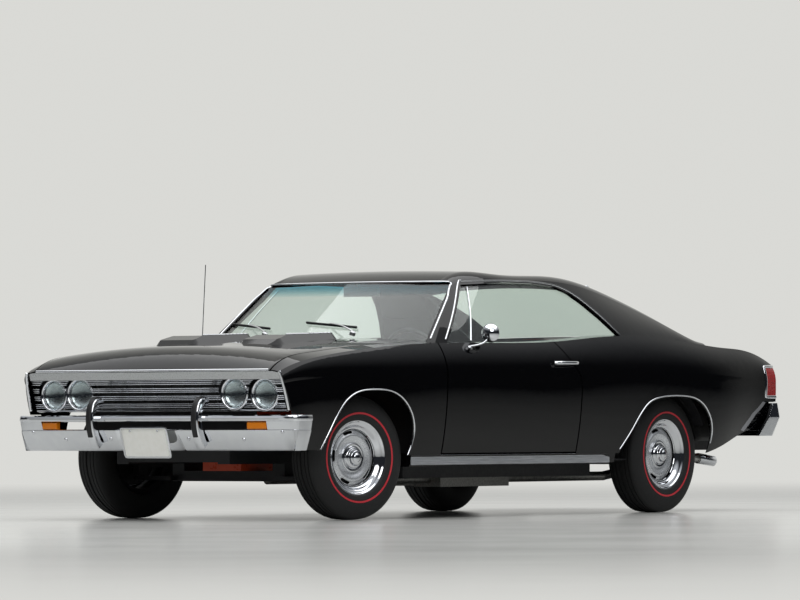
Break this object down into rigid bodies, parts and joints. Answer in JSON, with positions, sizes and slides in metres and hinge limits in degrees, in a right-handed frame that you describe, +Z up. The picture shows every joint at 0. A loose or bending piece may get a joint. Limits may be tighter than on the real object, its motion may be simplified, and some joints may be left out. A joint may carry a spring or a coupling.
{
  "type": "two-door hardtop coupe",
  "caption": "Black two-door hardtop coupe with opening doors, hood and trunk lid, steered front wheels and slotted steel wheels on red-line tyres.",
  "frame": {"origin": "on the floor under the middle of the car", "axes": "+X forward, +Y to the left side of the car, +Z up"},
  "size_m": [4.972, 1.981, 1.4],
  "materials": {
    "gloss_black_paint": "gloss",
    "chassis_black": "satin",
    "chrome": "polished",
    "bright_grille": "satin",
    "clear_glass": "polished",
    "lamp_glass": "polished",
    "amber_lens": "gloss",
    "red_lens": "gloss",
    "tyre_rubber": "matte",
    "silver_wheel": "satin",
    "blank_plate": "satin",
    "black_trim": "satin",
    "black_vinyl": "satin",
    "orange_engine": "gloss",
    "exhaust_steel": "satin"
  },
  "bodies": {
    "body": {"roof": "gloss_black_paint", "cowl_panel": "gloss_black_paint", "deck_panel": "gloss_black_paint", "tail_panel": "gloss_black_paint", "fender_left": "gloss_black_paint", "quarter_left": "gloss_black_paint", "quarter_glass_left": "clear_glass", "headlamps_left": "lamp_glass", "turn_lamp_left": "amber_lens", "tail_lamp_left": "red_lens", "fender_right": "gloss_black_paint", "quarter_right": "gloss_black_paint", "quarter_glass_right": "clear_glass", "headlamps_right": "lamp_glass", "turn_lamp_right": "amber_lens", "tail_lamp_right": "red_lens", "rockers": "gloss_black_paint", "trunk_floor": "chassis_black", "wheelhouses": "chassis_black", "frame": "chassis_black", "floor_pan": "chassis_black", "firewall": "chassis_black", "rear_shelf": "chassis_black", "rear_axle": "chassis_black", "fuel_tank": "chassis_black", "radiator": "chassis_black", "windscreen": "clear_glass", "rear_window": "clear_glass", "grille": "bright_grille", "front_bumper": "chrome", "rear_bumper": "chrome", "antenna": "chrome", "front_plate": "blank_plate", "dashboard": "black_trim", "steering_column": "black_trim", "steering_wheel": "black_trim", "wipers": "black_trim", "front_seat": "black_vinyl", "rear_seat": "black_vinyl", "engine": "orange_engine", "exhaust": "exhaust_steel"},
    "door_left_body": {"door_left": "gloss_black_paint", "door_glass_left": "clear_glass", "handle_left": "chrome", "door_mirror": "chrome"},
    "door_right_body": {"door_right": "gloss_black_paint", "door_glass_right": "clear_glass", "handle_right": "chrome"},
    "hood_body": {"hood": "gloss_black_paint"},
    "trunk_body": {"trunk_lid": "gloss_black_paint"},
    "knuckle_left_body": {"knuckle_left": "chassis_black"},
    "wheel_front_left": {"tyre_front_left": "tyre_rubber", "rim_front_left": "silver_wheel"},
    "wheel_rear_left": {"tyre_rear_left": "tyre_rubber", "rim_rear_left": "silver_wheel"},
    "knuckle_right_body": {"knuckle_right": "chassis_black"},
    "wheel_front_right": {"tyre_front_right": "tyre_rubber", "rim_front_right": "silver_wheel"},
    "wheel_rear_right": {"tyre_rear_right": "tyre_rubber", "rim_rear_right": "silver_wheel"}
  },
  "joints": [
    {"name": "door_left_hinge", "type": "hinge", "parent": "body", "child": "door_left_body", "pos_m": [0.9635, 0.92, 0.7], "axis": [0, 0, -1], "range_deg": [0, 65]},
    {"name": "door_right_hinge", "type": "hinge", "parent": "body", "child": "door_right_body", "pos_m": [0.9635, -0.92, 0.7], "axis": [0, 0, 1], "range_deg": [0, 65]},
    {"name": "hood_hinge", "type": "hinge", "parent": "body", "child": "hood_body", "pos_m": [0.935, 0, 0.89], "axis": [0, -1, 0], "range_deg": [0, 45]},
    {"name": "trunk_hinge", "type": "hinge", "parent": "body", "child": "trunk_body", "pos_m": [-1.58, 0, 0.88], "axis": [0, 1, 0], "range_deg": [0, 55]},
    {"name": "steer_left", "type": "hinge", "parent": "body", "child": "knuckle_left_body", "pos_m": [1.615, 0.6765, 0.332], "axis": [0, 0, 1], "range_deg": [-22, 44]},
    {"name": "steer_right", "type": "hinge", "parent": "body", "child": "knuckle_right_body", "pos_m": [1.615, -0.6765, 0.332], "axis": [0, 0, 1], "range_deg": [-22, 44]},
    {"name": "spin_front_left", "type": "hinge", "parent": "knuckle_left_body", "child": "wheel_front_left", "pos_m": [1.62645, 0.7354, 0.332], "axis": [0.1908, 0.9816, 0], "continuous": true},
    {"name": "spin_rear_left", "type": "hinge", "parent": "body", "child": "wheel_rear_left", "pos_m": [-1.306, 0.7365, 0.332], "axis": [0, 1, 0], "continuous": true},
    {"name": "spin_front_right", "type": "hinge", "parent": "knuckle_right_body", "child": "wheel_front_right", "pos_m": [1.60355, -0.7354, 0.332], "axis": [0.1908, 0.9816, 0], "continuous": true},
    {"name": "spin_rear_right", "type": "hinge", "parent": "body", "child": "wheel_rear_right", "pos_m": [-1.306, -0.7365, 0.332], "axis": [0, 1, 0], "continuous": true}
  ],
  "couplings": [
    {"joint": "steer_right", "follows": "steer_left", "ratio": 1}
  ]
}
